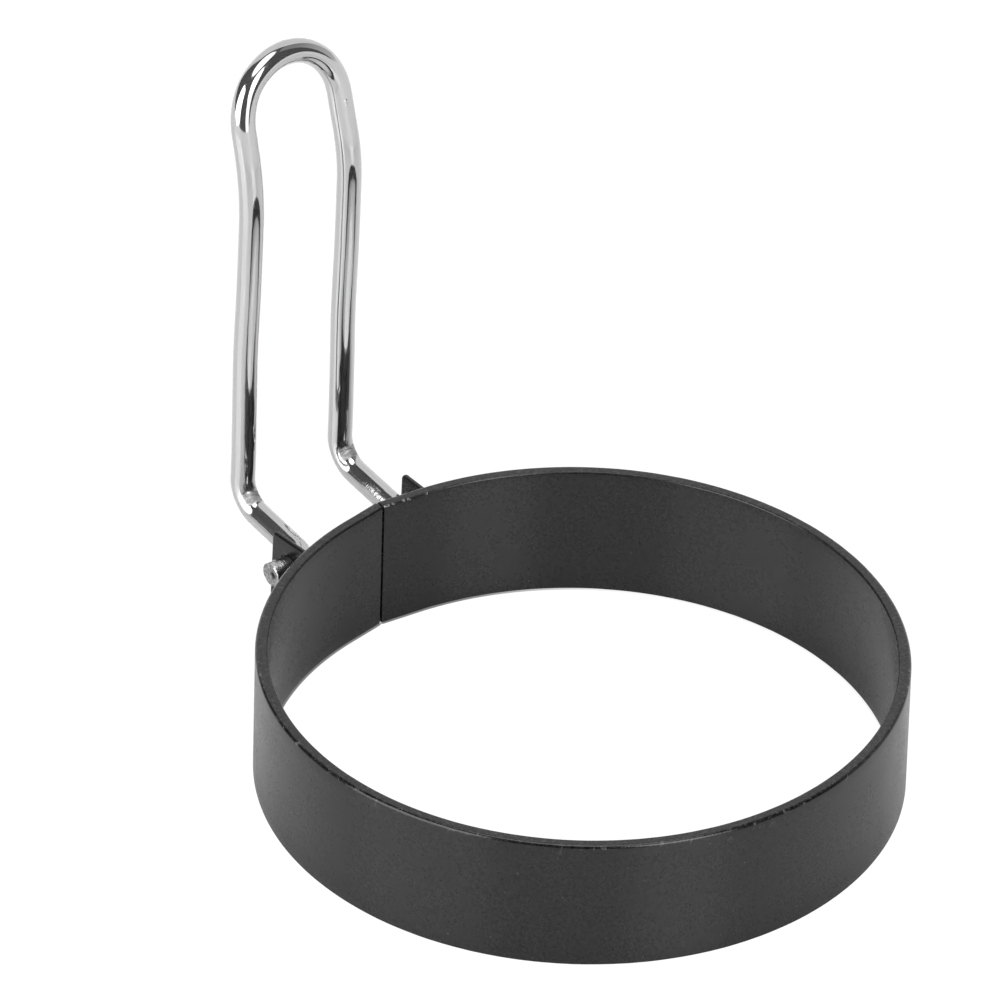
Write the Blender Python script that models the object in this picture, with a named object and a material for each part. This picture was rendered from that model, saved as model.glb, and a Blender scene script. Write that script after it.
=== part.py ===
"""Egg ring: a coated steel band with a folding wire handle.

The band is a flat strip rolled into a ring, its two ends meeting in a butt
seam at the back.  A pressed bracket, a web with two ears and a lip along its
lower edge, is spot-welded over the seam, and the two out-turned ends of one
bent wire turn in the holes of its ears.

Metres, +Z up.  The ring stands on z = 0.  +X runs along the hinge axis and
+Y points from the ring towards the handle.
"""
import math

import bmesh
import bpy
from mathutils import Vector

MM = 0.001

# ---------------------------------------------------------------- dimensions
# band
RING_OUTER_R = 45.0 * MM         # 3.5 in across outside
BAND_HEIGHT = 19.9 * MM
BAND_THICK = 1.7 * MM            # 1/16 in steel and its coating
BAND_EDGE_R = 0.25 * MM          # rounding of the rims
SEAM_GAP = 0.30 * MM             # open line between the two strip ends
SEAM_FLAT = 6.5 * MM             # straight run of the strip at each end
STRIP_CORNER_R = 0.6 * MM        # rounded corners of the cut strip
RING_CENTRE_Y = -12.4075 * MM    # puts the origin under the middle of the box

# hinge bracket
EAR_INNER_X = 10.95 * MM         # inner face of each ear, at the hinge axis
EAR_SPLAY = math.radians(1.5)    # the ears open outwards a little
SHEET_THICK = 0.9 * MM
SHEET_BEND_R = 0.8 * MM          # inside radius of the two folds
BRACKET_Z0 = 0.6 * MM
BRACKET_Z1 = 15.35 * MM
EAR_REACH_TOP = 53.5 * MM        # ear's outer edge from the ring's centre
EAR_REACH_LOW = 53.9 * MM
EAR_CORNER_R = 0.65 * MM
LIP_REACH = 52.6 * MM            # outer edge of the lip under the legs
LIP_HALF_WIDTH = 10.35 * MM
HINGE_HOLE_R = 2.12 * MM
WELD_GAP = 0.30 * MM             # web to band

# handle
WIRE_R = 1.75 * MM
HINGE_REACH = 49.7 * MM          # hinge axis from the ring's centre
HINGE_Z = 11.4 * MM
LEG_X = 8.70 * MM                # half the spacing of the two legs
END_X = 15.10 * MM               # cut ends of the wire
END_BEND_R = 2.3 * MM            # centre-line radius of the out-turned ends
LOWER_SLOPE = math.radians(8.1)  # lower legs rise away from the ring
UPRIGHT_REACH = 64.22 * MM       # uprights at 20 mm height
UPRIGHT_LEAN = -0.0205           # they lean in by this much per unit height
KNEE_R = 4.5 * MM                # bend between lower leg and upright
KINK_Z = (67.8 * MM, 64.5 * MM)  # start of the lean-back, left and right leg
KINK_R = 27.0 * MM
TOP_LEAN = math.radians(16.4)    # top of the handle leans away from the ring
ARC_CENTRE_Z = 73.97 * MM        # centre of the half-round top

COLOURS = {
    "coating": ((0.030, 0.030, 0.032, 1.0), 0.55, 0.0),
    "wire": ((0.62, 0.62, 0.63, 1.0), 0.20, 1.0),
}


# ------------------------------------------------------------------- helpers
def clear_scene():
    for ob in list(bpy.data.objects):
        bpy.data.objects.remove(ob, do_unlink=True)


def material(name):
    colour, rough, metal = COLOURS[name]
    mat = bpy.data.materials.new(name)
    mat.use_nodes = True
    bsdf = mat.node_tree.nodes["Principled BSDF"]
    bsdf.inputs["Base Color"].default_value = colour
    bsdf.inputs["Roughness"].default_value = rough
    bsdf.inputs["Metallic"].default_value = metal
    mat.diffuse_color = colour
    return mat


def new_object(name, data, mat=None):
    ob = bpy.data.objects.new(name, data)
    bpy.context.scene.collection.objects.link(ob)
    if mat is not None:
        data.materials.append(mat)
    return ob


def smooth(mesh, angle=35.0):
    mesh.shade_smooth()
    mesh.set_sharp_from_angle(angle=math.radians(angle))


def loft(name, rings):
    """One closed body through a list of equal-length closed loops."""
    bm = bmesh.new()
    loops = [[bm.verts.new(p) for p in ring] for ring in rings]
    n = len(rings[0])
    for a, b in zip(loops[:-1], loops[1:]):
        for k in range(n):
            j = (k + 1) % n
            bm.faces.new((a[k], a[j], b[j], b[k]))
    bm.faces.new(list(reversed(loops[0])))
    bm.faces.new(loops[-1])
    bmesh.ops.recalc_face_normals(bm, faces=bm.faces)
    mesh = bpy.data.meshes.new(name)
    bm.to_mesh(mesh)
    bm.free()
    return mesh


def corner_arc(cx, cy, r, start, turn, steps):
    """Points on a quarter or part circle about (cx, cy)."""
    return [(cx + r * math.cos(start + turn * i / steps),
             cy + r * math.sin(start + turn * i / steps))
            for i in range(steps + 1)]


# ---------------------------------------------------------------------- band
def seam_angle():
    return math.atan(SEAM_FLAT / RING_OUTER_R)


def outer_path(radius, arc_steps, flat_steps, end_gap):
    """Plan of a wall parallel to the band, from one seam end to the other.

    Yields (x, y, nx, ny, distance to the nearer end).  The wall follows a
    circle about the ring's centre, and leaves it on straight tangents that
    meet at the seam.
    """
    a0 = seam_angle()
    flat = radius * math.tan(a0) - end_gap / math.cos(a0)
    pts = []
    ends = [0.0, 0.12, 0.30, 0.60, 1.0]
    marks = [e * STRIP_CORNER_R for e in ends]
    rest = [STRIP_CORNER_R + (flat - STRIP_CORNER_R) * i / flat_steps
            for i in range(1, flat_steps + 1)]
    for side in (1, -1):
        run = []
        nx, ny = side * math.sin(a0), math.cos(a0)
        tx, ty = -side * math.cos(a0), math.sin(a0)   # towards the seam
        bx, by = radius * nx, radius * ny
        for d in marks + rest:
            s = flat - d
            run.append((bx + tx * s, by + ty * s, nx, ny, d))
        if side == 1:
            pts += run
            for i in range(1, arc_steps):
                a = a0 + (2.0 * math.pi - 2.0 * a0) * i / arc_steps
                pts.append((radius * math.sin(a), radius * math.cos(a),
                            math.sin(a), math.cos(a), 1.0))
        else:
            pts += list(reversed(run))
    return pts


def band_section(end_distance):
    """Cross-section of the strip, (depth from the outer wall, z)."""
    d = min(end_distance, STRIP_CORNER_R)
    drop = STRIP_CORNER_R - math.sqrt(
        max(STRIP_CORNER_R ** 2 - (STRIP_CORNER_R - d) ** 2, 0.0))
    e = min(end_distance, BAND_EDGE_R)
    inset = 0.6 * (BAND_EDGE_R - math.sqrt(
        max(BAND_EDGE_R ** 2 - (BAND_EDGE_R - e) ** 2, 0.0)))
    t0, t1 = inset, BAND_THICK - inset
    z0, z1 = drop, BAND_HEIGHT - drop
    r = BAND_EDGE_R * 0.999
    q = math.pi / 2.0
    pts = []
    pts += corner_arc(t0 + r, z0 + r, r, 2.0 * q, q, 3)
    pts += corner_arc(t1 - r, z0 + r, r, 3.0 * q, q, 3)
    pts += corner_arc(t1 - r, z1 - r, r, 0.0, q, 3)
    pts += corner_arc(t0 + r, z1 - r, r, q, q, 3)
    return pts


def make_band(mat):
    rings = []
    for x, y, nx, ny, d in outer_path(RING_OUTER_R, 132, 3, SEAM_GAP / 2.0):
        # the strip's ends are mitred, so that the seam's gap is parallel
        mitre = math.tan(seam_angle()) * max(0.0, 1.0 - d / SEAM_FLAT)
        side = math.copysign(1.0, nx)
        rings.append([Vector((x - (nx - side * ny * mitre) * t,
                              y - (ny + side * nx * mitre) * t, z))
                      for t, z in band_section(d)])
    mesh = loft("ring_band", rings)
    smooth(mesh, 40.0)
    ob = new_object("ring_band", mesh, mat)
    ob.location = (0.0, RING_CENTRE_Y, 0.0)
    return ob


# ------------------------------------------------------------------- bracket
def web_outline():
    """Plan of the bent sheet: half the web, its fold and its ear.

    Returns matching (inner, outer) points from the middle to the ear's edge;
    "inner" is the face towards the band and, on the ear, its outboard face.
    """
    r_in = RING_OUTER_R + WELD_GAP
    r_out = r_in + SHEET_THICK
    a0 = seam_angle()
    rb_in = SHEET_BEND_R                      # radius on the channel's side
    rb_out = SHEET_BEND_R + SHEET_THICK
    sx, sy = math.sin(EAR_SPLAY), math.cos(EAR_SPLAY)
    # circle of the fold: touches the ear's faces and the web's faces
    ax, ay = EAR_INNER_X - rb_in * sy, HINGE_REACH + rb_in * sx
    b = ax * sx + ay * sy
    u = -b + math.sqrt(b * b - ax * ax - ay * ay + (r_out + rb_in) ** 2)
    cx, cy = ax + u * sx, ay + u * sy
    end = math.atan2(cx, cy)                  # azimuth where the fold begins
    pairs = [((0.0, r_in / math.cos(a0)), (0.0, r_out / math.cos(a0)))]
    for a in [a0 + (end - a0) * i / 4.0 for i in range(5)]:
        pairs.append(((r_in * math.sin(a), r_in * math.cos(a)),
                      (r_out * math.sin(a), r_out * math.cos(a))))
    # the fold turns from the web's direction to the ear's
    start = -math.pi / 2.0 - end
    turn = math.pi / 2.0 + end - EAR_SPLAY
    for i in range(1, 6):
        t = start + turn * i / 5.0
        pairs.append(((cx + rb_out * math.cos(t), cy + rb_out * math.sin(t)),
                      (cx + rb_in * math.cos(t), cy + rb_in * math.sin(t))))
    y = EAR_REACH_LOW + 1.0 * MM
    x = EAR_INNER_X + (y - HINGE_REACH) * math.tan(EAR_SPLAY)
    pairs.append(((x + SHEET_THICK / sy, y), (x, y)))
    return pairs


def lip_outline():
    """Plan of the lip folded out from the web's lower edge."""
    r = RING_OUTER_R + WELD_GAP + 0.5 * SHEET_THICK
    w, y1, c = LIP_HALF_WIDTH, LIP_REACH, 1.2 * MM
    a1 = math.asin(w / r)
    pts = [(r * math.sin(a), r * math.cos(a))
           for a in [-a1 + 2.0 * a1 * i / 8.0 for i in range(9)]]
    pts += corner_arc(w - c, y1 - c, c, 0.0, math.pi / 2.0, 4)
    pts += corner_arc(-w + c, y1 - c, c, math.pi / 2.0, math.pi / 2.0, 4)
    return pts


def make_bracket(mat):
    half = web_outline()
    inner = [(-p[0][0], p[0][1]) for p in reversed(half[1:])]
    inner += [p[0] for p in half]
    outer = [(-p[1][0], p[1][1]) for p in reversed(half[1:])]
    outer += [p[1] for p in half]
    loop = inner + list(reversed(outer))

    # channel: the plan extruded to the bracket's height
    bm = bmesh.new()
    n = len(inner)
    low = [bm.verts.new((x, y, BRACKET_Z0)) for x, y in loop]
    top = [bm.verts.new((x, y, BRACKET_Z1)) for x, y in loop]
    m = len(loop)
    for k in range(m):
        j = (k + 1) % m
        bm.faces.new((low[k], low[j], top[j], top[k]))
    for i in range(n - 1):
        a, b, c, d = i, i + 1, m - 2 - i, m - 1 - i
        bm.faces.new((low[a], low[b], low[c], low[d]))
        bm.faces.new((top[a], top[d], top[c], top[b]))
    bmesh.ops.recalc_face_normals(bm, faces=bm.faces)
    mesh = bpy.data.meshes.new("hinge_bracket")
    bm.to_mesh(mesh)
    bm.free()
    ob = new_object("hinge_bracket", mesh, mat)
    ob.location = (0.0, RING_CENTRE_Y, 0.0)

    # side outline of the ears, a prism across the whole bracket
    r, q = EAR_CORNER_R, math.pi / 2.0
    y0, yt, yb = RING_OUTER_R - 4.0 * MM, EAR_REACH_TOP, EAR_REACH_LOW
    z0, z1 = BRACKET_Z0, BRACKET_Z1
    over = 1.0 * MM
    side = [(y0, z0 - over), (yb - r - over, z0 - over)]
    side += [(yb - r - over, z0)]
    side += corner_arc(yb - r, z0 + r, r, -q, q, 5)
    side += corner_arc(yt - r, z1 - r, r, 0.0, q, 5)
    side += [(yt - r - over, z1), (yt - r - over, z1 + over),
             (y0, z1 + over)]
    prism = prism_x("ear_outline_guide", side, 20.0 * MM)
    prism.location = ob.location
    cut(ob, prism, "INTERSECT")

    # lip along the lower edge, under the handle's legs
    z_lip = BRACKET_Z0, BRACKET_Z0 + SHEET_THICK
    rings = [[Vector((x, y, z)) for x, y in lip_outline()] for z in z_lip]
    lip = new_object("lip_guide", loft("lip_guide", rings))
    lip.hide_render = True
    lip.display_type = "WIRE"
    lip.location = ob.location
    cut(ob, lip, "UNION")

    # hinge holes
    steps = 32
    hole = [(HINGE_REACH + HINGE_HOLE_R * math.cos(2.0 * math.pi * i / steps),
             HINGE_Z + HINGE_HOLE_R * math.sin(2.0 * math.pi * i / steps))
            for i in range(steps)]
    drill = prism_x("hinge_hole_guide", hole, 20.0 * MM)
    drill.location = ob.location
    cut(ob, drill, "DIFFERENCE")
    smooth(mesh, 35.0)
    return ob


def prism_x(name, outline, half_length):
    """Closed prism along X from a (y, z) outline."""
    rings = [[Vector((x, y, z)) for y, z in outline]
             for x in (-half_length, half_length)]
    mesh = loft(name, rings)
    ob = new_object(name, mesh)
    ob.hide_render = True
    ob.display_type = "WIRE"
    return ob


def cut(ob, cutter, operation):
    mod = ob.modifiers.new(cutter.name, "BOOLEAN")
    mod.operation = operation
    mod.object = cutter
    mod.solver = "EXACT"


# -------------------------------------------------------------------- handle
def fillet(points, radii, step):
    """Polyline with its inner corners rounded to the given radii."""
    out = [points[0]]
    for i in range(1, len(points) - 1):
        p = points[i]
        d1 = (points[i - 1] - p).normalized()
        d2 = (points[i + 1] - p).normalized()
        angle = d1.angle(d2)
        r = radii[i - 1]
        cut_back = r / math.tan(angle / 2.0)
        centre = p + (d1 + d2).normalized() * (r / math.sin(angle / 2.0))
        v1 = (p + d1 * cut_back - centre) / r
        v2 = (p + d2 * cut_back - centre) / r
        sweep = math.pi - angle
        n = max(3, int(math.ceil(sweep / step)))
        for k in range(n + 1):
            w = sweep * k / n
            out.append(centre + r * (v1 * math.sin(sweep - w)
                                     + v2 * math.sin(w)) / math.sin(sweep))
    out.append(points[-1])
    return out


def leg_points(side):
    """Corner points of one leg, from its cut end up to the half-round top."""
    kink_z = KINK_Z[0] if side < 0 else KINK_Z[1]
    run = ((UPRIGHT_REACH + UPRIGHT_LEAN * (HINGE_Z - 20.0 * MM) - HINGE_REACH)
           / (math.cos(LOWER_SLOPE) - UPRIGHT_LEAN * math.sin(LOWER_SLOPE)))
    x = side * LEG_X
    hinge = Vector((x, HINGE_REACH, HINGE_Z))
    knee = hinge + run * Vector((0.0, math.cos(LOWER_SLOPE),
                                 math.sin(LOWER_SLOPE)))
    kink = Vector((x, UPRIGHT_REACH + UPRIGHT_LEAN * (kink_z - 20.0 * MM),
                   kink_z))
    top = kink + Vector((0.0, math.sin(TOP_LEAN), math.cos(TOP_LEAN))) * (
        (ARC_CENTRE_Z - kink_z) / math.cos(TOP_LEAN))
    end = Vector((side * END_X, HINGE_REACH, HINGE_Z))
    return [end, hinge, knee, kink, top]


def handle_path(step):
    radii = [END_BEND_R, KNEE_R, KINK_R]
    left = fillet(leg_points(-1), radii, step)
    right = fillet(leg_points(1), radii, step)
    a, b = left[-1], right[-1]
    centre, across = (a + b) / 2.0, (b - a) / 2.0
    radius = across.length
    up = Vector((0.0, math.sin(TOP_LEAN), math.cos(TOP_LEAN)))
    up = (up - up.project(across)).normalized()
    arc = []
    n = int(math.ceil(math.pi / step))
    for i in range(1, n):
        t = math.pi * i / n
        arc.append(centre - across * math.cos(t) + up * radius * math.sin(t))
    return left + arc + list(reversed(right))


def make_handle(mat):
    pivot = Vector((0.0, HINGE_REACH, HINGE_Z))
    curve = bpy.data.curves.new("handle_wire", "CURVE")
    curve.dimensions = "3D"
    curve.twist_mode = "MINIMUM"
    curve.bevel_depth = WIRE_R
    curve.bevel_resolution = 5
    curve.use_fill_caps = True
    points = handle_path(math.radians(9.0))
    spline = curve.splines.new("POLY")
    spline.points.add(len(points) - 1)
    for slot, p in zip(spline.points, points):
        q = p - pivot
        slot.co = (q.x, q.y, q.z, 1.0)
    spline.use_smooth = True
    ob = new_object("handle_wire", curve, mat)

    # the handle turns about this empty's X axis
    axis = bpy.data.objects.new("hinge_axis", None)
    axis.empty_display_size = 0.01
    axis.location = (0.0, RING_CENTRE_Y + HINGE_REACH, HINGE_Z)
    bpy.context.scene.collection.objects.link(axis)
    ob.parent = axis
    return ob


def main():
    clear_scene()
    coating = material("coating")
    wire = material("wire")
    make_band(coating)
    make_bracket(coating)
    make_handle(wire)


main()
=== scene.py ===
"""Looks of the egg ring: a coated steel band with a folding bright-wire handle.

Metres, +Z up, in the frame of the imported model: +X runs along the hinge axis
and +Y points from the ring to the handle.  Each visible piece is a finer mesh
of the solid it stands for, on the same dimensions.
"""

import math

import bmesh
import bpy
import numpy as np
from mathutils import Matrix, Vector, noise


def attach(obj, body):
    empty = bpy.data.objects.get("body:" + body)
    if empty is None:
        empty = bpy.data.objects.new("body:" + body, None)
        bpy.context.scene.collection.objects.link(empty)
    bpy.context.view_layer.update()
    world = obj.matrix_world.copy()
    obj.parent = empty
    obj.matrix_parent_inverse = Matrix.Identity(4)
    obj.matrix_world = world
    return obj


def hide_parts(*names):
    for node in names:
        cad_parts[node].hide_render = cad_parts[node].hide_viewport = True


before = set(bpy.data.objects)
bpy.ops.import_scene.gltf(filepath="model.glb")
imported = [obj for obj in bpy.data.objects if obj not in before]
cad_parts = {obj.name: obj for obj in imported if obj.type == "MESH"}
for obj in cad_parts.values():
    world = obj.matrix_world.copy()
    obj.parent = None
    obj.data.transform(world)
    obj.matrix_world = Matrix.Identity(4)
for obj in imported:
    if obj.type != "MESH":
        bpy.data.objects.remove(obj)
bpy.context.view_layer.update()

MM = 0.001

# ---------------------------------------------------------------- dimensions
RING_CENTRE_Y = -12.4075 * MM
RING_OUTER_R = 44.99 * MM
BAND_HEIGHT = 19.9 * MM
BAND_THICK = 1.7 * MM
BAND_EDGE_R = (0.36 * MM, 0.26 * MM, 0.28 * MM, 0.48 * MM)   # see band_section
SEAM_GAP = 0.30 * MM
SEAM_FLAT = 6.5 * MM
STRIP_CORNER_R = 0.16 * MM

EAR_INNER_X = 10.95 * MM
EAR_SPLAY = math.radians(1.5)
SHEET_THICK = 0.9 * MM
SHEET_EDGE_R = 0.38 * MM
SHEET_BEND_R = 0.8 * MM
BRACKET_Z0 = 0.6 * MM
BRACKET_Z1 = 15.35 * MM
EAR_REACH_TOP = 53.5 * MM
EAR_REACH_LOW = 53.9 * MM
EAR_CORNER_R = 0.65 * MM
LIP_REACH = 52.6 * MM
LIP_HALF_WIDTH = 10.35 * MM
HINGE_HOLE_R = 1.98 * MM
WELD_GAP = 0.30 * MM

WIRE_R = 1.74 * MM
HINGE_REACH = 49.7 * MM
HINGE_Z = 11.4 * MM
LEG_X = 8.70 * MM
LEG_SHIFT = -0.05 * MM
END_X = 15.06 * MM
END_BEND_R = 2.3 * MM
LOWER_SLOPE = (math.radians(8.1), math.radians(7.8))
UPRIGHT_REACH = 64.22 * MM
UPRIGHT_LEAN = -0.0205
KNEE_R = 4.5 * MM
KINK_Z = (65.8 * MM, 64.5 * MM)
KINK_IN = (0.22 * MM, 0.0)
TOP_IN = (0.40 * MM, 0.06 * MM)
KINK_R = (43.0 * MM, 27.0 * MM)
BOW = 0.24 * MM
BOW_LOW = (0.14 * MM, 0.06 * MM)
TOP_LEAN = math.radians(16.4)
ARC_CENTRE_Z = 73.97 * MM
# the bending tool's mark in each knee, left then right: from and to along the
# wire from the middle of the bend (minus is towards the hinge), depth, in mm
KNEE_MARKS = ((-2.1, 0.85, 0.02), (-1.3, 1.4, 0.03))
# scuffs: run along the wire from its left end, facing, half length, half width,
# strength; lengths in mm
SCUFFS = (
    (175.7, (-0.76, -0.09, 0.64), 2.2, 0.60, 0.85),
    (0.9, (0.0, -0.38, 0.92), 1.3, 1.2, 0.8),
    (28.4, (-0.58, -0.81, 0.0), 1.0, 0.22, 0.25),
    (38.6, (-0.73, -0.68, 0.0), 0.6, 0.45, 0.35),
    (8.7, (0.45, -0.14, 0.88), 1.8, 0.45, 0.25),
    (108.3, (-0.17, -0.94, 0.28), 0.5, 0.4, 0.4),
    (81.1, (-0.89, -0.36, 0.28), 0.35, 0.3, 0.4),
)


# -------------------------------------------------------------------- camera
def make_camera():
    """Long lens from the front left, 36 degrees above the table."""
    right = Vector((0.7756532142, -0.6307012569, 0.0240421462))
    up = Vector((0.3454750856, 0.4561369503, 0.8201134377))
    ahead = Vector((0.5282130872, 0.6278176614, -0.5716956573))
    data = bpy.data.cameras.new("camera")
    data.sensor_fit = "HORIZONTAL"
    data.sensor_width = 36.0
    data.lens = 36.0 * 14.438792
    data.clip_start = 0.1
    data.clip_end = 30.0
    cam = bpy.data.objects.new("camera", data)
    m = Matrix.Identity(4)
    for k, axis in enumerate((right, up, -ahead)):
        for r in range(3):
            m[r][k] = axis[r]
    m.translation = Vector((-1.0462977, -1.2373213, 1.1674293))
    cam.matrix_world = m
    bpy.context.scene.collection.objects.link(cam)
    bpy.context.scene.camera = cam


# --------------------------------------------------------------------- nodes
class Tree:
    """Short-hand for building a node tree."""

    def __init__(self, tree):
        self.tree = tree
        tree.nodes.clear()

    def node(self, kind, inputs=None, **attributes):
        n = self.tree.nodes.new(kind)
        for key, value in attributes.items():
            setattr(n, key, value)
        for key, value in (inputs or {}).items():
            self.put(n.inputs[key], value)
        return n

    def put(self, socket, value):
        if isinstance(value, bpy.types.NodeSocket):
            self.tree.links.new(value, socket)
        else:
            socket.default_value = value

    def math(self, operation, *args, clamp=False):
        n = self.tree.nodes.new("ShaderNodeMath")
        n.operation = operation
        n.use_clamp = clamp
        for k, a in enumerate(args):
            self.put(n.inputs[k], a)
        return n.outputs[0]

    def vector(self, operation, a, b=None, scale=None):
        n = self.tree.nodes.new("ShaderNodeVectorMath")
        n.operation = operation
        self.put(n.inputs[0], a)
        if b is not None:
            self.put(n.inputs[1], b)
        if scale is not None:
            self.put(n.inputs["Scale"], scale)
        return n.outputs["Value" if operation in ("DOT_PRODUCT", "LENGTH")
                         else "Vector"]

    def ramp(self, value, low, high, out_low=0.0, out_high=1.0, smooth=True):
        n = self.tree.nodes.new("ShaderNodeMapRange")
        n.interpolation_type = "SMOOTHSTEP" if smooth else "LINEAR"
        n.clamp = True
        for key, v in zip(("Value", "From Min", "From Max", "To Min", "To Max"),
                          (value, low, high, out_low, out_high)):
            self.put(n.inputs[key], v)
        return n.outputs[0]

    def noise(self, vector, scale, detail=2.0, roughness=0.5, distortion=0.0):
        n = self.node("ShaderNodeTexNoise", {
            "Vector": vector, "Scale": scale, "Detail": detail,
            "Roughness": roughness, "Distortion": distortion})
        return n.outputs["Fac"]

    def mix(self, factor, a, b):
        n = self.tree.nodes.new("ShaderNodeMix")
        n.data_type = "RGBA"
        self.put(n.inputs[0], factor)
        for key, v in ((6, a), (7, b)):
            if isinstance(v, (int, float)):
                v = (v, v, v, 1.0)
            self.put(n.inputs[key], v)
        return n.outputs[2]

    def bump(self, height, distance, strength=1.0, normal=None):
        inputs = {"Height": height, "Distance": distance, "Strength": strength}
        if normal is not None:
            inputs["Normal"] = normal
        return self.node("ShaderNodeBump", inputs).outputs["Normal"]


def new_material(name):
    mat = bpy.data.materials.new(name)
    mat.use_nodes = True
    return mat, Tree(mat.node_tree)


def finish_material(tree, inputs, constants):
    """Principled surface: driven sockets first, constants on the socket."""
    bsdf = tree.node("ShaderNodeBsdfPrincipled")
    for key, value in {**constants, **inputs}.items():
        tree.put(bsdf.inputs[key], value)
    out = tree.node("ShaderNodeOutputMaterial")
    tree.tree.links.new(bsdf.outputs[0], out.inputs["Surface"])


def coating_material(name, dark, light, offset, chips=()):
    """Satin black non-stick coating, sprayed: fine grain and a few specks.

    chips: (x, half width, strength) in mm of the places on the inner top edge
    where the coating has come off and the steel shows.
    """
    mat, t = new_material(name)
    coord = t.node("ShaderNodeTexCoord").outputs["Object"]
    at = t.vector("SCALE", coord, scale=1000.0)
    mm = t.vector("ADD", at, (offset, 0.0, 0.0))
    grain = t.noise(mm, 2.2, detail=2.0, roughness=0.55)
    cloud = t.noise(mm, 0.16, detail=2.0)
    peel = t.noise(mm, 0.75, detail=2.0)
    cells = t.node("ShaderNodeTexVoronoi",
                   {"Vector": mm, "Scale": 1.9, "Randomness": 1.0})
    pick = t.node("ShaderNodeSeparateColor",
                  {"Color": cells.outputs["Color"]}).outputs[0]
    rare = t.ramp(pick, 0.976, 0.999, smooth=False)
    near = t.ramp(cells.outputs["Distance"], 0.06, 0.34, 1.0, 0.0)
    speck = t.math("MULTIPLY", rare, near)
    edge = t.node("ShaderNodeAttribute", attribute_name="edge").outputs["Fac"]
    rim = t.node("ShaderNodeAttribute", attribute_name="rim").outputs["Fac"]

    # the cut and coated rims are rougher: blotches and drawn-out light marks; on
    # the outer top edge the light marks are partly wear and partly a painted
    # highlight
    blotch = t.noise(mm, 1.9, detail=4.0, roughness=0.62)
    streak = t.noise(mm, 0.85, detail=5.0, roughness=0.68, distortion=0.6)
    blotch = t.ramp(blotch, 0.46, 0.74)
    streak = t.ramp(streak, 0.56, 0.70)
    outer = t.node("ShaderNodeAttribute",
                   attribute_name="outer_edge").outputs["Fac"]
    wear_and_highlight = t.math("MULTIPLY", outer, streak)

    tone = t.ramp(grain, 0.30, 0.70, smooth=False)
    colour = t.mix(tone, dark, light)
    colour = t.mix(t.math("MULTIPLY", speck, 0.6), colour, 0.10)
    colour = t.mix(t.math("MULTIPLY", t.math("MULTIPLY", rim, blotch), 0.8),
                   colour, 0.052)
    # painted highlight: the outer top edge is lightened in streaks, partly wear and
    # partly standing in for the bright edge highlight
    colour = t.mix(t.math("MULTIPLY", wear_and_highlight, 0.9), colour, 0.125)
    rough = t.math("ADD", t.ramp(cloud, 0.3, 0.7, 0.235, 0.275),
                   t.ramp(grain, 0.3, 0.7, 0.03, -0.03))
    rough = t.math("ADD", rough, t.math("MULTIPLY", rim, 0.05))
    rough = t.math("SUBTRACT", rough, t.math("MULTIPLY", outer, 0.12))
    normal = t.bump(peel, 0.000016, 0.35)
    normal = t.bump(grain, 0.000009, 0.30, normal)
    normal = t.bump(t.math("MULTIPLY", rim, t.noise(mm, 2.2, detail=3.0)),
                    0.00006, 0.45, normal)
    inputs = {"Base Color": colour, "Roughness": rough, "Normal": normal}
    constants = {"Metallic": 0.0, "IOR": 1.48}
    if chips:
        x, y, z = t.node("ShaderNodeSeparateXYZ", {"Vector": at}).outputs[:3]
        x = t.math("ADD", x, t.math("MULTIPLY", t.math(
            "SUBTRACT", t.noise(mm, 5.0, detail=3.0), 0.5), 0.55))
        bare = None
        for centre, half, strength in chips:
            d = t.math("ABSOLUTE", t.math("SUBTRACT", x, centre))
            m = t.ramp(d, half * 0.8, half * 1.15, strength, 0.0)
            bare = m if bare is None else t.math("MAXIMUM", bare, m)
        inner = t.node("ShaderNodeAttribute",
                       attribute_name="inner_edge").outputs["Fac"]
        patch = t.ramp(t.noise(mm, 4.0, detail=3.0), 0.40, 0.50)
        bare = t.math("MULTIPLY", t.math("MULTIPLY", bare, patch),
                      t.ramp(inner, 0.25, 0.6))
        bare = t.math("MULTIPLY", bare, t.ramp(y, 0.0, 1.0))
        inputs["Base Color"] = t.mix(bare, colour, 0.62)
        inputs["Metallic"] = bare
        del constants["Metallic"]
    finish_material(t, inputs, constants)
    return mat


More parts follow.
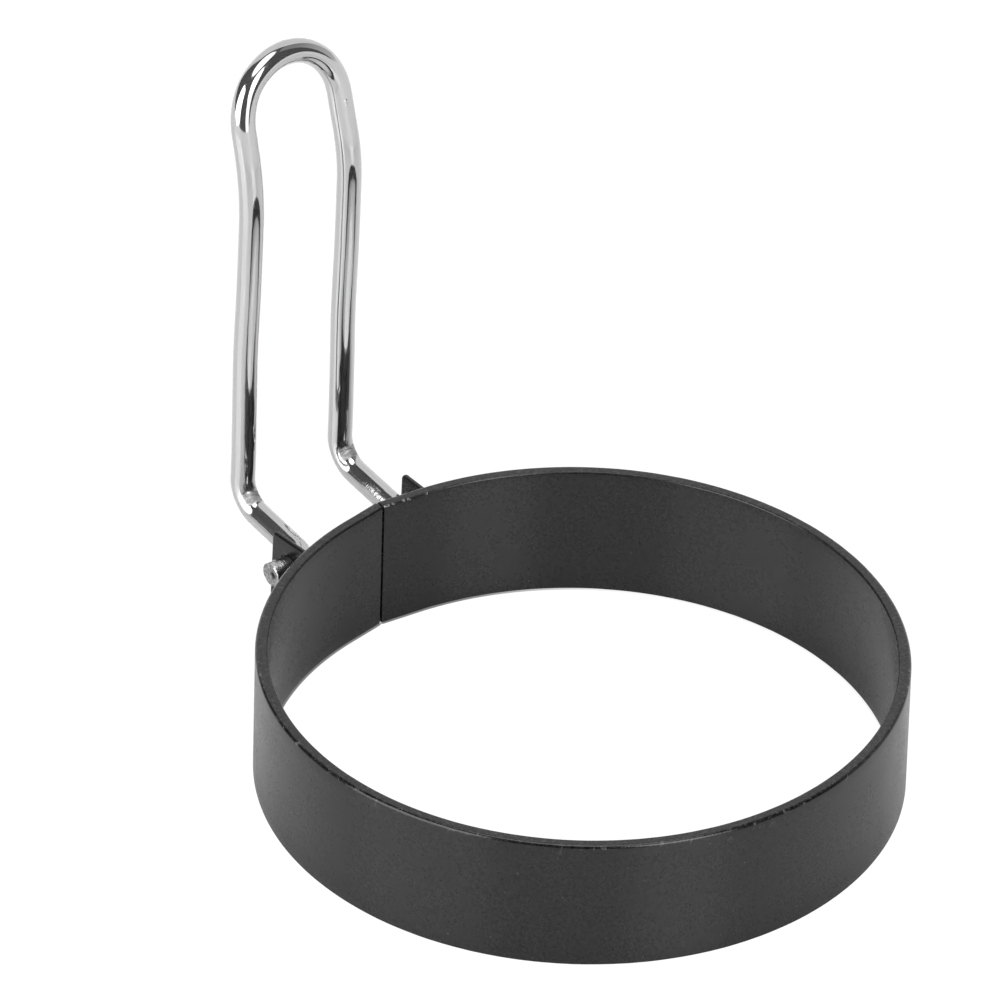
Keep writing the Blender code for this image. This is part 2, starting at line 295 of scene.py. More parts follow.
def wire_material(name):
    """Bright drawn wire: near mirror, with faint lines along its length."""
    mat, t = new_material(name)
    place = t.node("ShaderNodeAttribute",
                   attribute_name="wire_place").outputs["Vector"]
    lines_at = t.vector("MULTIPLY", place, (1.0, 1.0, 0.018))
    lines = t.noise(lines_at, 6.5, detail=3.0, roughness=0.65)
    broad = t.noise(lines_at, 1.8, detail=2.0)
    blotch = t.noise(place, 0.55, detail=3.0)
    pits = t.noise(place, 4.5, detail=2.0)
    mark = t.node("ShaderNodeAttribute", attribute_name="tool_mark").outputs["Fac"]
    colour = t.mix(t.ramp(lines, 0.32, 0.68), 0.53, 0.59)
    colour = t.mix(t.ramp(pits, 0.70, 0.80), colour, 0.42)
    # the bending tool's mark: dull, with streaks across the wire
    across = t.noise(t.vector("MULTIPLY", place, (0.35, 0.35, 1.5)), 2.4,
                     detail=3.0, roughness=0.6, distortion=0.8)
    across = t.ramp(across, 0.42, 0.66)
    worked = t.mix(across, 0.32, 0.62)
    colour = t.mix(mark, colour, worked)
    rough = t.ramp(blotch, 0.35, 0.7, 0.055, 0.10)
    rough = t.math("ADD", rough, t.ramp(lines, 0.5, 0.75, 0.0, 0.05))
    rough = t.math("ADD", rough, t.math("MULTIPLY", mark,
                                        t.ramp(across, 0.0, 1.0, 0.30, 0.24)))
    rubbed = t.node("ShaderNodeAttribute", attribute_name="rubbed").outputs["Fac"]
    rough = t.math("ADD", rough, t.math("MULTIPLY", rubbed, 0.24))
    normal = t.bump(broad, 0.000010, 0.5)
    normal = t.bump(lines, 0.0000022, 0.6, normal)
    crumple = t.noise(t.vector("MULTIPLY", place, (0.6, 0.6, 1.8)), 2.0,
                      detail=3.0, roughness=0.6)
    normal = t.bump(t.math("MULTIPLY", crumple, mark), 0.00009, 0.7, normal)
    scuff = t.node("ShaderNodeAttribute", attribute_name="scuff").outputs["Fac"]
    dents = t.noise(t.vector("MULTIPLY", place, (0.55, 0.55, 1.6)), 2.0,
                    detail=3.0, roughness=0.6, distortion=0.5)
    normal = t.bump(t.math("MULTIPLY", dents, scuff), 0.00014, 0.8, normal)
    rough = t.math("ADD", rough, t.math("MULTIPLY", scuff, 0.10))
    finish_material(t, {"Base Color": colour, "Roughness": rough,
                        "Normal": normal},
                    {"Metallic": 0.96, "IOR": 1.8})
    return mat


def sheared_material(name):
    """The wire's cut ends: torn grey metal with streaks and pits; the pits carry
    painted shade, near black.
    """
    mat, t = new_material(name)
    place = t.node("ShaderNodeTexCoord").outputs["Object"]
    mm = t.vector("SCALE", place, scale=1000.0)
    streak = t.noise(t.vector("MULTIPLY", mm, (1.0, 1.0, 0.3)), 5.0,
                     detail=4.0, roughness=0.65)
    grit = t.noise(mm, 9.0, detail=3.0)
    patch = t.noise(mm, 2.2, detail=3.0, roughness=0.6)
    pit_shade = t.node("ShaderNodeAttribute", attribute_name="pit_shade").outputs["Fac"]
    burr = t.node("ShaderNodeAttribute", attribute_name="burr").outputs["Fac"]
    colour = t.mix(t.ramp(patch, 0.38, 0.62), 0.22, 0.50)
    colour = t.mix(t.ramp(grit, 0.58, 0.70), colour, 0.12)
    # painted shade: the hollow in the cut face is painted near black
    colour = t.mix(pit_shade, colour, 0.03)
    colour = t.mix(burr, colour, 0.92)
    rough = t.ramp(grit, 0.3, 0.7, 0.32, 0.50)
    normal = t.bump(streak, 0.00006, 0.6)
    normal = t.bump(patch, 0.00014, 0.7, normal)
    normal = t.bump(grit, 0.00003, 0.6, normal)
    finish_material(t, {"Base Color": colour, "Roughness": rough,
                        "Normal": normal}, {"Metallic": 1.0})
    return mat


def floor_material():
    mat, t = new_material("pale_floor")
    mm = t.vector("SCALE", t.node("ShaderNodeTexCoord").outputs["Object"],
                  scale=1000.0)
    tone = t.noise(mm, 0.02, detail=2.0)
    # smooth under the ring, and matt farther out
    out = t.ramp(t.vector("LENGTH", mm), 150.0, 320.0, 0.0, 0.6)
    surface = t.node("ShaderNodeBsdfPrincipled", {
        "Base Color": t.mix(tone, 0.87, 0.89),
        "Roughness": t.math("ADD", t.ramp(tone, 0.3, 0.7, 0.09, 0.12), out),
        "IOR": 1.5})
    # over-exposed to plain white in the picture, like the backdrop, but for a
    # thin contact shadow inside the band on the hinge's side
    near = t.node("ShaderNodeAmbientOcclusion", {"Distance": 0.0004},
                  samples=16).outputs["AO"]
    x, y, z = t.node("ShaderNodeSeparateXYZ", {"Vector": mm}).outputs[:3]
    y = t.math("SUBTRACT", y, RING_CENTRE_Y / MM)
    reach = t.math("SQRT", t.math("ADD", t.math("MULTIPLY", x, x),
                                  t.math("MULTIPLY", y, y)))
    inside = t.ramp(reach, 43.8, 44.2, 1.0, 0.0)
    side = t.math("ADD", t.math("MULTIPLY", x, -0.26), t.math("MULTIPLY", y, 0.966))
    side = t.ramp(t.math("DIVIDE", side, reach), 0.45, 0.90, 0.15, 1.0)
    dark = t.math("MULTIPLY", t.math("MULTIPLY", inside, side),
                  t.ramp(near, 0.72, 0.92, 0.80, 0.0))
    glow = t.node("ShaderNodeEmission", {
        "Strength": t.math("MULTIPLY", 1.05, t.math("SUBTRACT", 1.0, dark))})
    seen = t.node("ShaderNodeLightPath").outputs["Is Camera Ray"]
    both = t.node("ShaderNodeMixShader", {0: seen})
    t.tree.links.new(surface.outputs[0], both.inputs[1])
    t.tree.links.new(glow.outputs[0], both.inputs[2])
    out = t.node("ShaderNodeOutputMaterial")
    t.tree.links.new(both.outputs[0], out.inputs["Surface"])
    return mat


# ------------------------------------------------------------------- studio
def studio():
    """White table and backdrop, two large soft lights and an overhead one."""
    world = bpy.data.worlds.new("studio")
    bpy.context.scene.world = world
    world.use_nodes = True
    t = Tree(world.node_tree)
    ray = t.node("ShaderNodeTexCoord").outputs["Generated"]
    up = t.node("ShaderNodeSeparateXYZ", {"Vector": ray}).outputs[2]

    def panel(azimuth, half_width, low, high, level, power=5.0, soft=0.10):
        """Upright panel, azimuth in degrees from +Y to +X, sizes as tangents."""
        a = math.radians(azimuth)
        ahead = t.vector("DOT_PRODUCT", ray, (math.sin(a), math.cos(a), 0.0))
        side = t.vector("DOT_PRODUCT", ray, (math.cos(a), -math.sin(a), 0.0))
        facing = t.math("GREATER_THAN", ahead, 0.05)
        safe = t.math("MAXIMUM", ahead, 0.05)
        x = t.math("DIVIDE", t.math("DIVIDE", side, safe), half_width)
        y = t.math("SUBTRACT", t.math("DIVIDE", up, safe), (low + high) / 2.0)
        y = t.math("DIVIDE", y, (high - low) / 2.0)
        r = t.math("ADD",
                   t.math("POWER", t.math("ABSOLUTE", x), power),
                   t.math("POWER", t.math("ABSOLUTE", y), power))
        r = t.math("POWER", r, 1.0 / power)
        m = t.ramp(r, 1.0 - soft, 1.0 + soft, 1.0, 0.0)
        return t.math("MULTIPLY", t.math("MULTIPLY", m, facing), level)

    overhead = t.ramp(up, math.sin(math.radians(67.0)),
                      math.sin(math.radians(72.5)), 0.0, 3.0)
    parts = [
        overhead,
        panel(-85.0, 0.46, -0.30, 1.10, 4.0),       # soft light, left
        panel(184.0, 0.24, -0.30, 0.80, 2.0),       # soft light, right front
        panel(184.0, 0.32, 0.45, 1.60, 4.2),        # and its upper half
        panel(41.0, 0.98, -0.60, 1.80, 0.86, soft=0.06),   # backdrop
        t.math("MULTIPLY", panel(105.0, 0.32, -0.60, 1.80, 1.0, soft=0.06),
               t.ramp(up, 0.05, 0.6, 0.55, 0.22, smooth=False)),
    ]
    total = 0.075
    for p in parts:
        total = t.math("ADD", total, p)
    below = t.ramp(up, -0.02, 0.0, 1.0, 0.0, smooth=False)
    total = t.math("ADD", t.math("MULTIPLY", total,
                                 t.math("SUBTRACT", 1.0, below)),
                   t.math("MULTIPLY", below, 0.9))
    light = t.node("ShaderNodeBackground", {"Strength": total})
    light.inputs["Color"].default_value = (1.0, 1.0, 1.0, 1.0)
    plain = t.node("ShaderNodeBackground", {"Strength": 1.05})
    plain.inputs["Color"].default_value = (1.0, 1.0, 1.0, 1.0)
    seen = t.node("ShaderNodeLightPath").outputs["Is Camera Ray"]
    both = t.node("ShaderNodeMixShader", {0: seen})
    t.tree.links.new(light.outputs[0], both.inputs[1])
    t.tree.links.new(plain.outputs[0], both.inputs[2])
    out = t.node("ShaderNodeOutputWorld")
    t.tree.links.new(both.outputs[0], out.inputs["Surface"])

    mesh = bpy.data.meshes.new("floor")
    bm = bmesh.new()
    bmesh.ops.create_grid(bm, x_segments=8, y_segments=8, size=6.0)
    bm.to_mesh(mesh)
    bm.free()
    floor = bpy.data.objects.new("floor", mesh)
    floor.location = (0.0, 0.0, -0.00002)
    mesh.materials.append(floor_material())
    bpy.context.scene.collection.objects.link(floor)

    scene = bpy.context.scene
    scene.view_settings.view_transform = "Standard"
    scene.view_settings.look = "None"
    scene.view_settings.exposure = 0.0
    scene.view_settings.gamma = 1.0


# ---------------------------------------------------------------- mesh helpers
def loft(name, rings, cap=True):
    """One closed body through a list of equal-length closed loops."""
    bm = bmesh.new()
    loops = [[bm.verts.new(p) for p in ring] for ring in rings]
    n = len(rings[0])
    for a, b in zip(loops[:-1], loops[1:]):
        for k in range(n):
            j = (k + 1) % n
            bm.faces.new((a[k], a[j], b[j], b[k]))
    if cap:
        bm.faces.new(list(reversed(loops[0])))
        bm.faces.new(loops[-1])
    bmesh.ops.recalc_face_normals(bm, faces=bm.faces)
    mesh = bpy.data.meshes.new(name)
    bm.to_mesh(mesh)
    bm.free()
    return mesh


def add_object(name, mesh, materials):
    ob = bpy.data.objects.new(name, mesh)
    bpy.context.scene.collection.objects.link(ob)
    for mat in materials:
        mesh.materials.append(mat)
    return ob


def smooth(mesh, angle):
    mesh.shade_smooth()
    mesh.set_sharp_from_angle(angle=math.radians(angle))


def corner_arc(cx, cy, r, start, turn, steps):
    return [(cx + r * math.cos(start + turn * i / steps),
             cy + r * math.sin(start + turn * i / steps))
            for i in range(steps + 1)]


def float_attribute(mesh, name, values):
    a = mesh.attributes.new(name, "FLOAT", "POINT")
    a.data.foreach_set("value", np.asarray(values, np.float32))


def vector_attribute(mesh, name, values):
    a = mesh.attributes.new(name, "FLOAT_VECTOR", "POINT")
    a.data.foreach_set("vector", np.asarray(values, np.float32).ravel())


def wobble(x, y, z, size):
    """Smooth noise, about -1 to 1, over lengths of the given size in mm."""
    return noise.noise(Vector((x, y, z)) * (1.0 / (size * MM)))


# ---------------------------------------------------------------------- band
def band_path(radius, arc_steps, flat_steps, end_gap):
    """Plan of the band's outer wall from one strip end to the other.

    Yields (x, y, nx, ny, distance to the nearer end, run along the strip).
    """
    a0 = math.atan(SEAM_FLAT / radius)
    flat = SEAM_FLAT - end_gap / math.cos(a0)
    marks = [STRIP_CORNER_R * e for e in
             (0.0, 0.02, 0.07, 0.15, 0.26, 0.40, 0.56, 0.76, 1.0)]
    rest = [STRIP_CORNER_R + (flat - STRIP_CORNER_R) * i / flat_steps
            for i in range(1, flat_steps + 1)]
    pts = []
    for side in (1, -1):
        run = []
        nx, ny = side * math.sin(a0), math.cos(a0)
        tx, ty = -side * math.cos(a0), math.sin(a0)
        bx, by = radius * nx, radius * ny
        for d in marks + rest:
            s = flat - d
            run.append((bx + tx * s, by + ty * s, nx, ny, d, side * d))
        if side == 1:
            pts += run
            for i in range(1, arc_steps):
                a = a0 + (2.0 * math.pi - 2.0 * a0) * i / arc_steps
                pts.append((radius * math.sin(a), radius * math.cos(a),
                            math.sin(a), math.cos(a), 1.0, radius * a))
        else:
            pts += list(reversed(run))
    return pts


def band_section(end_distance, arc_steps, wall_steps):
    """Cross-section of the strip: (depth from the outer wall, z, marks).

    The roundings go round from the outer lower edge to the inner lower, inner
    upper and outer upper one.
    The marks are edge (1 in the middle of each rounding), rim (1 on the flat
    top and bottom, fading over the roundings), inner top and outer top edge.
    """
    d = min(end_distance, STRIP_CORNER_R)
    drop = STRIP_CORNER_R - math.sqrt(
        max(STRIP_CORNER_R ** 2 - (STRIP_CORNER_R - d) ** 2, 0.0))
    r_end = 0.10 * MM
    e = min(end_distance, r_end)
    inset = r_end - math.sqrt(max(r_end ** 2 - (r_end - e) ** 2, 0.0))
    t0, t1 = inset, BAND_THICK - inset
    z0, z1 = drop, BAND_HEIGHT - drop
    ra, rb, rc, rd = BAND_EDGE_R
    q = math.pi / 2.0
    pts = []

    def arc(cx, cz, r, start, to_rim, inner, outer):
        for i, p in enumerate(corner_arc(cx, cz, r, start, q, arc_steps)):
            f = i / arc_steps
            e = math.sin(math.pi * f)
            pts.append((p[0], p[1], (e, f if to_rim else 1.0 - f,
                                     inner * min(1.0, 1.6 * e + 0.1),
                                     outer * min(1.0, 1.6 * e + 0.35))))

    def wall(x, za, zb):
        for i in range(1, wall_steps):
            pts.append((x, za + (zb - za) * i / wall_steps, (0.0,) * 4))

    arc(t0 + ra, z0 + ra, ra, 2.0 * q, True, 0.0, 0.0)
    arc(t1 - rb, z0 + rb, rb, 3.0 * q, False, 0.0, 0.0)
    wall(t1, z0 + rb, z1 - rc)
    arc(t1 - rc, z1 - rc, rc, 0.0, True, 1.0, 0.0)
    for f in (0.2, 0.4, 0.6, 0.8):
        pts.append((t1 - rc + (t0 - t1 + rc + rd) * f, z1,
                    (0.0, 1.0, 0.0, max(0.0, f - 0.5) * 0.7)))
    arc(t0 + rd, z1 - rd, rd, q, False, 0.0, 1.0)
    wall(t0, z1 - rd, z0 + ra)
    return pts


def make_band(mat):
    rings, marks = [], []
    for x, y, nx, ny, d, run in band_path(RING_OUTER_R, 640, 40, SEAM_GAP / 2.0):
        ring = []
        # the strip's ends are mitred, so that the seam's gap is parallel
        mitre = SEAM_FLAT / RING_OUTER_R * max(0.0, 1.0 - d / SEAM_FLAT)
        side = math.copysign(1.0, nx)
        dx, dy = nx - side * ny * mitre, ny + side * nx * mitre
        for t, z, m in band_section(d, 7, 12):
            px, py = x - dx * t, y - dy * t
            e = max(m[0], 0.4 if m[1] == 1.0 else 0.0)
            if e > 0.0:
                # the strip's rounded edges are a little uneven
                k = wobble(px, py, z, 1.3) * 0.5 + wobble(px, py, z, 4.0) * 0.5
                shift = 0.030 * MM * e * (0.5 + 0.5 * k)
                mid_t, mid_z = BAND_THICK / 2.0, BAND_HEIGHT / 2.0
                t2 = t + shift * m[0] * (1.0 if t < mid_t else -1.0)
                z = z + shift * (1.0 if z < mid_z else -1.0)
                px, py = x - dx * t2, y - dy * t2
            ring.append(Vector((px, py + RING_CENTRE_Y, z)))
            marks.append(m)
        rings.append(ring)
    mesh = loft("band", rings)
    for k, name in enumerate(("edge", "rim", "inner_edge", "outer_edge")):
        float_attribute(mesh, name, [m[k] for m in marks])
    smooth(mesh, 50.0)
    ob = add_object("band_coated", mesh, [mat])
    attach(ob, "ring")
    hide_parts("ring_band")
    return ob


# ------------------------------------------------------------------- bracket
def web_outline():
    """Plan of the bent sheet: half the web, its fold and its ear."""
    r_in = RING_OUTER_R + WELD_GAP
    r_out = r_in + SHEET_THICK
    a0 = math.atan(SEAM_FLAT / RING_OUTER_R)
    rb_in = SHEET_BEND_R
    rb_out = SHEET_BEND_R + SHEET_THICK
    sx, sy = math.sin(EAR_SPLAY), math.cos(EAR_SPLAY)
    ax, ay = EAR_INNER_X - rb_in * sy, HINGE_REACH + rb_in * sx
    b = ax * sx + ay * sy
    u = -b + math.sqrt(b * b - ax * ax - ay * ay + (r_out + rb_in) ** 2)
    cx, cy = ax + u * sx, ay + u * sy
    end = math.atan2(cx, cy)
    pairs = [((0.0, r_in / math.cos(a0)), (0.0, r_out / math.cos(a0)))]
    for a in [a0 + (end - a0) * i / 6.0 for i in range(7)]:
        pairs.append(((r_in * math.sin(a), r_in * math.cos(a)),
                      (r_out * math.sin(a), r_out * math.cos(a))))
    start = -math.pi / 2.0 - end
    turn = math.pi / 2.0 + end - EAR_SPLAY
    for i in range(1, 13):
        t = start + turn * i / 12.0
        pairs.append(((cx + rb_out * math.cos(t), cy + rb_out * math.sin(t)),
                      (cx + rb_in * math.cos(t), cy + rb_in * math.sin(t))))
    y = EAR_REACH_LOW + 1.0 * MM
    x = EAR_INNER_X + (y - HINGE_REACH) * math.tan(EAR_SPLAY)
    pairs.append(((x + SHEET_THICK / sy, y), (x, y)))
    return pairs


def lip_outline():
    """Plan of the lip folded out from the web's lower edge."""
    r = RING_OUTER_R + WELD_GAP + 0.5 * SHEET_THICK
    w, y1, c = LIP_HALF_WIDTH, LIP_REACH, 1.2 * MM
    a1 = math.asin(w / r)
    pts = [(r * math.sin(a), r * math.cos(a))
           for a in [-a1 + 2.0 * a1 * i / 16.0 for i in range(17)]]
    pts += corner_arc(w - c, y1 - c, c, 0.0, math.pi / 2.0, 8)
    pts += corner_arc(-w + c, y1 - c, c, math.pi / 2.0, math.pi / 2.0, 8)
    return pts


def prism_x(name, outline, half_length):
    rings = [[Vector((x, y, z)) for y, z in outline]
             for x in (-half_length, half_length)]
    return bpy.data.objects.new(name, loft(name, rings))


def apply_boolean(ob, cutter, operation):
    bpy.context.scene.collection.objects.link(cutter)
    mod = ob.modifiers.new("cut", "BOOLEAN")
    mod.operation = operation
    mod.object = cutter
    mod.solver = "EXACT"
    apply_modifiers(ob)
    bpy.data.objects.remove(cutter, do_unlink=True)


def round_edges(ob, radius, segments):
    """Round all sharp edges."""
    bm = bmesh.new()
    bm.from_mesh(ob.data)
    bmesh.ops.remove_doubles(bm, verts=bm.verts, dist=0.002 * MM)
    bmesh.ops.dissolve_limit(bm, angle_limit=math.radians(0.5),
                             verts=bm.verts, edges=bm.edges)
    edges = [e for e in bm.edges if len(e.link_faces) == 2
             and abs(e.calc_face_angle(0.0)) > math.radians(38.0)]
    bmesh.ops.bevel(bm, geom=edges, offset=radius, offset_type="OFFSET",
                    segments=segments, profile=0.5, affect="EDGES",
                    clamp_overlap=False, miter_outer="ARC",
                    loop_slide=True)
    bm.to_mesh(ob.data)
    bm.free()


def apply_modifiers(ob):
    bpy.context.view_layer.update()
    dg = bpy.context.evaluated_depsgraph_get()
    mesh = bpy.data.meshes.new_from_object(ob.evaluated_get(dg))
    old = ob.data
    ob.modifiers.clear()
    ob.data = mesh
    bpy.data.meshes.remove(old)


def make_bracket(mat):
    half = web_outline()
    inner = [(-p[0][0], p[0][1]) for p in reversed(half[1:])]
    inner += [p[0] for p in half]
    outer = [(-p[1][0], p[1][1]) for p in reversed(half[1:])]
    outer += [p[1] for p in half]
    loop = inner + list(reversed(outer))
    bm = bmesh.new()
    n, m = len(inner), len(loop)
    low = [bm.verts.new((x, y, BRACKET_Z0)) for x, y in loop]
    top = [bm.verts.new((x, y, BRACKET_Z1)) for x, y in loop]
    for k in range(m):
        j = (k + 1) % m
        bm.faces.new((low[k], low[j], top[j], top[k]))
    for i in range(n - 1):
        a, b, c, d = i, i + 1, m - 2 - i, m - 1 - i
        bm.faces.new((low[a], low[b], low[c], low[d]))
        bm.faces.new((top[a], top[d], top[c], top[b]))
    bmesh.ops.recalc_face_normals(bm, faces=bm.faces)
    mesh = bpy.data.meshes.new("bracket")
    bm.to_mesh(mesh)
    bm.free()
    ob = bpy.data.objects.new("bracket_coated", mesh)
    bpy.context.scene.collection.objects.link(ob)

    r, q = EAR_CORNER_R, math.pi / 2.0
    y0, yt, yb = RING_OUTER_R - 4.0 * MM, EAR_REACH_TOP, EAR_REACH_LOW
    z0, z1 = BRACKET_Z0, BRACKET_Z1
    over = 1.0 * MM
    side = [(y0, z0 - over), (yb - r - over, z0 - over), (yb - r - over, z0)]
    side += corner_arc(yb - r, z0 + r, r, -q, q, 8)
    side += corner_arc(yt - r, z1 - r, r, 0.0, q, 8)
    side += [(yt - r - over, z1), (yt - r - over, z1 + over), (y0, z1 + over)]
    apply_boolean(ob, prism_x("outline", side, 20.0 * MM), "INTERSECT")
    rings = [[Vector((x, y, z)) for x, y in lip_outline()]
             for z in (BRACKET_Z0, BRACKET_Z0 + SHEET_THICK)]
    apply_boolean(ob, bpy.data.objects.new("lip", loft("lip", rings)), "UNION")
    round_edges(ob, SHEET_EDGE_R, 6)

    steps = 64
    hole = [(HINGE_REACH + HINGE_HOLE_R * math.cos(2.0 * math.pi * i / steps),
             HINGE_Z + HINGE_HOLE_R * math.sin(2.0 * math.pi * i / steps))
            for i in range(steps)]
    apply_boolean(ob, prism_x("hole", hole, 20.0 * MM), "DIFFERENCE")

    mesh = ob.data
    for v in mesh.vertices:
        v.co.y += RING_CENTRE_Y
    mesh.materials.clear()
    mesh.materials.append(mat)
    float_attribute(mesh, "edge", [0.0] * len(mesh.vertices))
    smooth(mesh, 35.0)
    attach(ob, "ring")
    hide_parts("hinge_bracket")
    return ob


# -------------------------------------------------------------------- handle
def fillet(points, radii, step):
    out = [points[0]]
    for i in range(1, len(points) - 1):
        p = points[i]
        d1 = (points[i - 1] - p).normalized()
        d2 = (points[i + 1] - p).normalized()
        angle = d1.angle(d2)
        r = radii[i - 1]
        cut_back = r / math.tan(angle / 2.0)
        centre = p + (d1 + d2).normalized() * (r / math.sin(angle / 2.0))
        v1 = (p + d1 * cut_back - centre) / r
        v2 = (p + d2 * cut_back - centre) / r
        sweep = math.pi - angle
        n = max(3, int(math.ceil(sweep / step)))
        for k in range(n + 1):
            w = sweep * k / n
            out.append(centre + r * (v1 * math.sin(sweep - w)
                                     + v2 * math.sin(w)) / math.sin(sweep))
    out.append(points[-1])
    return out


def leg_points(side):
    k = 0 if side < 0 else 1
    kink_z, slope = KINK_Z[k], LOWER_SLOPE[k]
    run = ((UPRIGHT_REACH + UPRIGHT_LEAN * (HINGE_Z - 20.0 * MM) - HINGE_REACH)
           / (math.cos(slope) - UPRIGHT_LEAN * math.sin(slope)))
    x = side * LEG_X + LEG_SHIFT
    hinge = Vector((x, HINGE_REACH, HINGE_Z))
    knee = hinge + run * Vector((0.0, math.cos(slope), math.sin(slope)))
    kink = Vector((x, UPRIGHT_REACH + UPRIGHT_LEAN * (kink_z - 20.0 * MM)
                   - KINK_IN[k], kink_z))
    top = kink + Vector((0.0, math.sin(TOP_LEAN), math.cos(TOP_LEAN))) * (
        (ARC_CENTRE_Z - kink_z) / math.cos(TOP_LEAN))
    top.y -= TOP_IN[k]
    end = Vector((side * END_X, HINGE_REACH, HINGE_Z))
    return [end, hinge, knee, kink, top]


def bowed(points, low):
    """The uprights aren't quite straight: a slight bow, as bent by hand."""
    out = []
    for p in points:
        q = Vector(p)
        if q.y > HINGE_REACH + 8.0 * MM:
            q.y += (BOW * math.exp(-((q.z - 38.5 * MM) / (8.0 * MM)) ** 2)
                    - low * math.exp(-((q.z - 20.0 * MM) / (5.0 * MM)) ** 2))
        out.append(q)
    return out


def straight_split(points, longest):
    """Split long straight runs, so that a bend can be laid on them."""
    out = [points[0]]
    for a, b in zip(points[:-1], points[1:]):
        n = max(1, int(math.ceil((b - a).length / longest)))
        out += [a.lerp(b, i / n) for i in range(1, n + 1)]
    return out


def handle_path(step):
    sides = []
    for k, side in enumerate((-1, 1)):
        leg = fillet(leg_points(side), [END_BEND_R, KNEE_R, KINK_R[k]], step)
        sides.append(bowed(straight_split(leg, 0.4 * MM), BOW_LOW[k]))
    left, right = sides
    a, b = left[-1], right[-1]
    centre, across = (a + b) / 2.0, (b - a) / 2.0
    radius = across.length
    up = Vector((0.0, math.sin(TOP_LEAN), math.cos(TOP_LEAN)))
    up = (up - up.project(across)).normalized()
    arc = []
    n = int(math.ceil(math.pi / step))
    for i in range(1, n):
        t = math.pi * i / n
        full = 1.0 + 0.013 * math.exp(-((t - 0.75) / 0.30) ** 2)
        arc.append(centre - across * math.cos(t) * full
                   + up * radius * math.sin(t) * full)
    return left + arc + list(reversed(right))


def resample(points, fine_at):
    """Evenly spaced points on the path, closer together near fine_at."""
    pts = np.array([tuple(p) for p in points])
    run = np.r_[0.0, np.cumsum(np.linalg.norm(np.diff(pts, axis=0), axis=1))]
    total = run[-1]
    s, marks = 0.0, [0.0]
    while s < total:
        near = min(abs(s - f) for f in fine_at)
        s += (0.14 if near < 4.5 * MM else 0.34) * MM
        marks.append(s)
    marks = np.array(marks) * (total / marks[-1])
    out = np.stack([np.interp(marks, run, pts[:, k]) for k in range(3)], 1)
    # round off the polyline's facets
    for _ in range(3):
        out[1:-1] = 0.25 * out[:-2] + 0.5 * out[1:-1] + 0.25 * out[2:]
    return out, marks


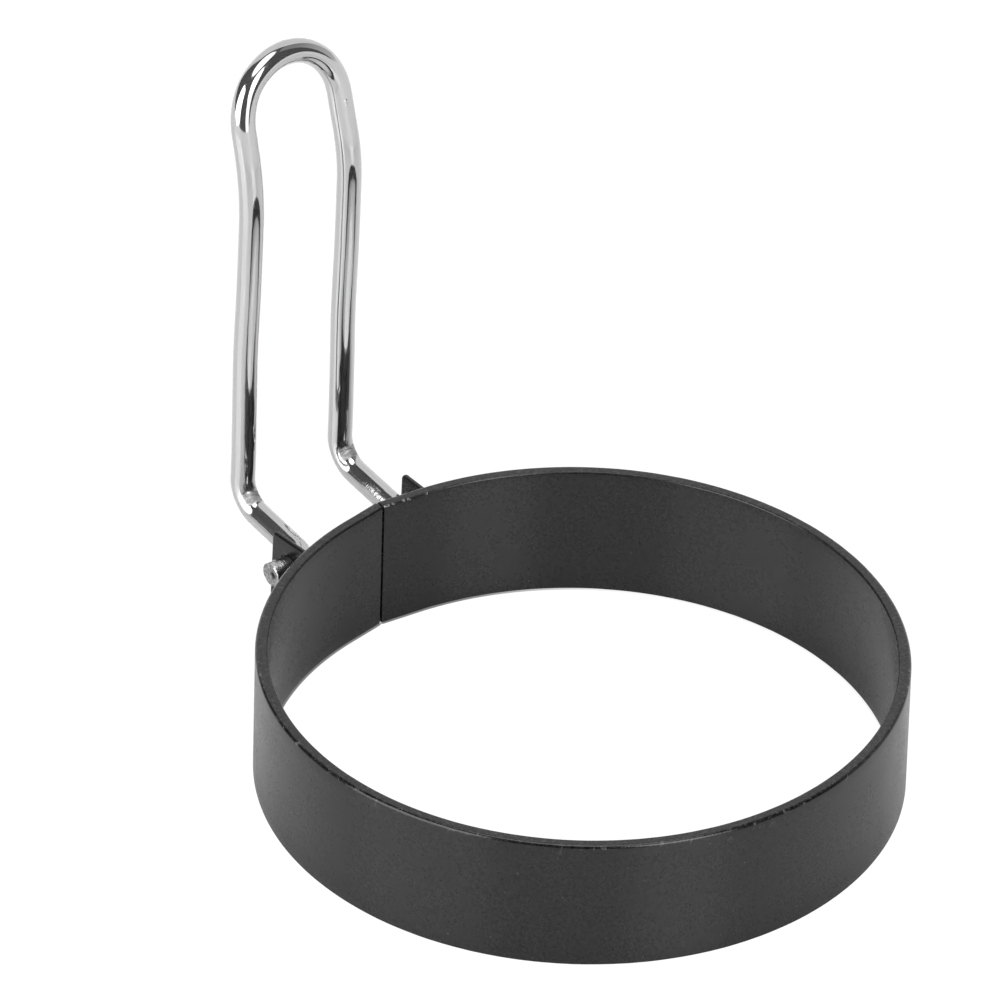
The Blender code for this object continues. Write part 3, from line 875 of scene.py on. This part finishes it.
def make_handle(mat, cut_mat):
    path = handle_path(math.radians(1.2))
    corner_runs = []
    pts = np.array([tuple(p) for p in path])
    run = np.r_[0.0, np.cumsum(np.linalg.norm(np.diff(pts, axis=0), axis=1))]
    for side in (-1, 1):
        knee = np.array(tuple(leg_points(side)[2]))
        corner_runs.append(run[np.argmin(np.linalg.norm(pts - knee, axis=1))])
    centre, marks = resample(path, [0.0, run[-1]] + corner_runs)
    centre[:, 1] += RING_CENTRE_Y
    n_rings, sides = len(centre), 64

    tangent = np.gradient(centre, axis=0)
    tangent /= np.linalg.norm(tangent, axis=1)[:, None]
    curve_in = np.gradient(tangent, axis=0) / np.gradient(marks)[:, None]
    frame_n = np.zeros_like(centre)
    frame_n[0] = (0.0, 0.0, 1.0)
    for i in range(1, n_rings):
        k = frame_n[i - 1] - tangent[i] * (frame_n[i - 1] @ tangent[i])
        frame_n[i] = k / np.linalg.norm(k)
    frame_b = np.cross(tangent, frame_n)

    phi = 2.0 * np.pi * np.arange(sides) / sides
    out = (frame_n[:, None] * np.cos(phi)[None, :, None]
           + frame_b[:, None] * np.sin(phi)[None, :, None])
    radius = np.full((n_rings, sides), WIRE_R)
    mark = np.zeros((n_rings, sides))

    # the section is a little oval in the bends
    bend = np.linalg.norm(curve_in, axis=1)
    inward = curve_in / np.maximum(bend, 1e-6)[:, None]
    facing_in = (out * inward[:, None]).sum(2)
    kernel = np.hanning(31)
    oval = np.convolve(np.clip(bend * KNEE_R, 0.0, 1.0) * 0.012,
                       kernel / kernel.sum(), "same")
    radius *= 1.0 - oval[:, None] * (2.0 * facing_in ** 2 - 1.0 + 0.4)

    # marks pressed by the bending tool, inside each knee
    rubbed = np.zeros((n_rings, sides))
    for at, (start, stop, depth) in zip(corner_runs, KNEE_MARKS):
        i = int(np.argmin(np.abs(marks - at)))
        along = (marks - at) / MM
        if at > run[-1] / 2.0:
            along = -along
        window = np.clip((along - start) / 0.30, 0.0, 1.0) * np.clip(
            (stop - along) / 0.30, 0.0, 1.0)
        facing = (out * inward[i]).sum(2)
        broad = np.clip((facing - 0.54) / 0.16, 0.0, 1.0)
        radius -= depth * MM * window[:, None] * broad
        mark = np.maximum(mark, broad * window[:, None])
        # the wire slid in the tool a little way above its mark
        slid = np.clip((along - start) / 0.5, 0.0, 1.0) * (
            0.6 * np.clip((stop + 0.5 - along) / 0.5, 0.0, 1.0)
            + 0.4 * np.clip((stop + 3.6 - along) / 1.4, 0.0, 1.0))
        rubbed = np.maximum(rubbed, broad * slid[:, None])

    # scuffs: run along the wire from its left end, facing, lengths in mm
    scuff = np.zeros((n_rings, sides))
    for at, facing, half_long, half_wide, strength in SCUFFS:
        v = Vector(facing).normalized()
        away = np.arccos(np.clip((out * np.array(v)).sum(2), -1.0, 1.0))
        d = np.hypot((marks[:, None] / MM - at) / half_long,
                     away * (WIRE_R / MM) / half_wide)
        scuff = np.maximum(scuff, strength * np.clip((1.4 - d) / 0.9, 0.0, 1.0))

    verts = centre[:, None] + out * radius[:, :, None]

    bm = bmesh.new()
    rows = [[bm.verts.new(v) for v in ring] for ring in verts]
    for a, b in zip(rows[:-1], rows[1:]):
        for k in range(sides):
            j = (k + 1) % sides
            bm.faces.new((a[k], a[j], b[j], b[k]))
    place = [(WIRE_R / MM * math.cos(p), WIRE_R / MM * math.sin(p), m / MM)
             for m in marks for p in phi]
    marked, scuffed = list(mark.ravel()), list(scuff.ravel())
    rubbings = list(rubbed.ravel())
    pit_shade_values, burred = [0.0] * len(marked), [0.0] * len(marked)

    # sheared ends: a slightly domed, torn face with a burr on one side and painted
    # shade in its hollow
    for end in (0, -1):
        ring, c = rows[end], centre[end]
        face_out = -tangent[0] if end == 0 else tangent[-1]
        previous = ring
        levels = (0.975, 0.93, 0.87, 0.80, 0.72, 0.63, 0.53, 0.43, 0.32, 0.21,
                  0.10)
        for f in levels:
            loop = []
            for k in range(sides):
                p = Vector(verts[end][k] * f + c * (1.0 - f))
                side = verts[end][k] - c
                fy, fz = side[1] / WIRE_R, side[2] / WIRE_R
                tear = wobble(p.x, p.y * 1.6, p.z, 0.55) * 0.6
                tear += wobble(p.x + 1.0, p.y, p.z, 0.22) * 0.3
                lift = 0.05 * (1.0 - f) + 0.07 * tear
                # burr along the rim where the shear came out
                lip = max(0.0, min(1.0, (-fy * 0.92 + fz * 0.25 - 0.25) / 0.4))
                lip *= max(0.0, 1.0 - abs(f - 0.93) / 0.07)
                py, pz = (f * fy + 0.20) / 0.34, (f * fz - 0.02) / 0.28
                hollow = math.exp(-(py * py + pz * pz))
                lift += 0.10 * lip - 0.20 * hollow
                loop.append(bm.verts.new(p + Vector(face_out) * lift * MM))
                place.append((WIRE_R / MM * math.cos(phi[k]) * f,
                              WIRE_R / MM * math.sin(phi[k]) * f,
                              marks[end] / MM))
                marked.append(0.0)
                rubbings.append(0.0)
                scuffed.append(0.0)
                # painted shade in the hollow, following its depth
                pit_shade_values.append(min(1.0, 1.3 * hollow))
                burred.append(lip)
            for k in range(sides):
                j = (k + 1) % sides
                q = (previous[k], previous[j], loop[j], loop[k])
                fc = bm.faces.new(q if end else tuple(reversed(q)))
                fc.material_index = 1
            previous = loop
        mid = bm.verts.new(Vector(c) + Vector(face_out) * 0.05 * MM)
        place.append((0.0, 0.0, marks[end] / MM))
        marked.append(0.0)
        rubbings.append(0.0)
        scuffed.append(0.0)
        pit_shade_values.append(0.45)
        burred.append(0.0)
        for k in range(sides):
            j = (k + 1) % sides
            q = (previous[k], previous[j], mid)
            fc = bm.faces.new(q if end else tuple(reversed(q)))
            fc.material_index = 1
    bmesh.ops.recalc_face_normals(bm, faces=bm.faces)
    mesh = bpy.data.meshes.new("wire")
    bm.to_mesh(mesh)
    bm.free()
    vector_attribute(mesh, "wire_place", place)
    float_attribute(mesh, "tool_mark", marked)
    float_attribute(mesh, "rubbed", rubbings)
    float_attribute(mesh, "scuff", scuffed)
    float_attribute(mesh, "pit_shade", pit_shade_values)
    float_attribute(mesh, "burr", burred)
    mesh.shade_smooth()
    mesh.set_sharp_from_angle(angle=math.radians(55.0))
    ob = add_object("handle_wire_bent", mesh, [mat, cut_mat])
    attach(ob, "handle")
    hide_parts("handle_wire")
    return ob


make_camera()
studio()
make_band(coating_material("coating_band", 0.0, 0.0125, 0.0, (
    (0.60, 0.40, 0.60), (1.60, 0.20, 0.30), (3.30, 0.20, 0.5),
    (4.05, 0.24, 0.7), (6.90, 0.20, 0.7))))
make_bracket(coating_material("coating_bracket", 0.0, 0.008, 37.0))
make_handle(wire_material("bright_wire"), sheared_material("sheared_end"))
